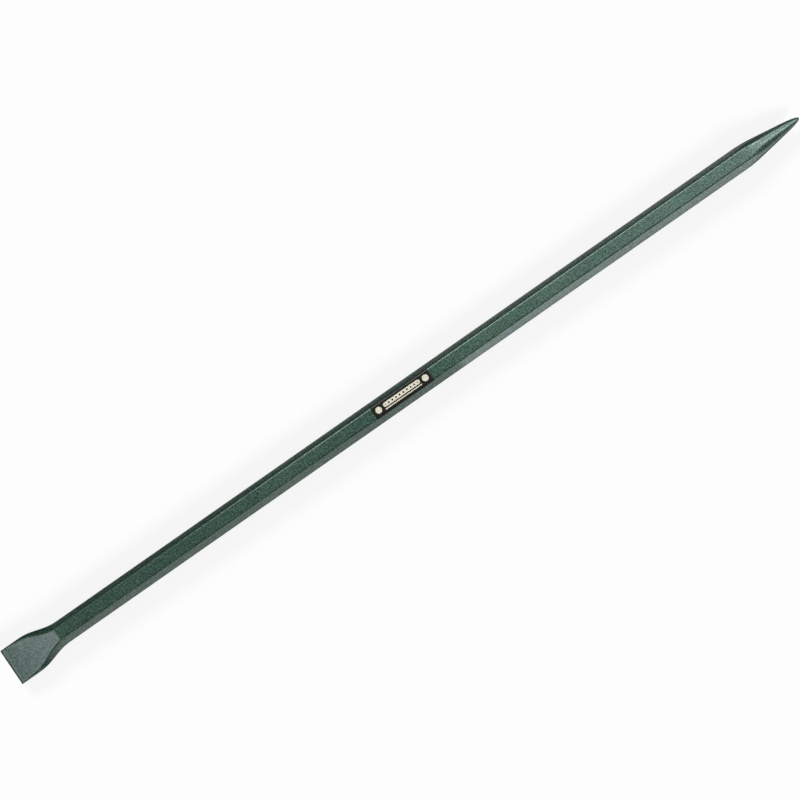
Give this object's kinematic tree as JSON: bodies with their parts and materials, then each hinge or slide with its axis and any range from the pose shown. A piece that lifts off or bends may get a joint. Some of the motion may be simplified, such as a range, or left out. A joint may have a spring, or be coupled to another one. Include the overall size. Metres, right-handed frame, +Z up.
{
  "type": "digging bar",
  "caption": "Solid hexagonal steel digging bar with a flared chisel blade at one end and a tapered point at the other, painted in a dark green hammer finish.",
  "frame": {"origin": "on the surface that the bar lies on, below the middle of its length, at the bottom centre of its box", "axes": "+X along the bar towards the point, +Z up and square to the flat that it lies on, +Y across the blade"},
  "size_m": [1.22, 0.051, 0.0282],
  "materials": {
    "hammer_paint": "dark green hammer-finish enamel, glossy, with a fine dimpled texture",
    "label_film": "thin satin vinyl film, near black with cream print"
  },
  "bodies": {
    "root": {"chisel_end": "hammer_paint", "shank": "hammer_paint", "point_end": "hammer_paint", "label": "label_film"}
  },
  "joints": []
}
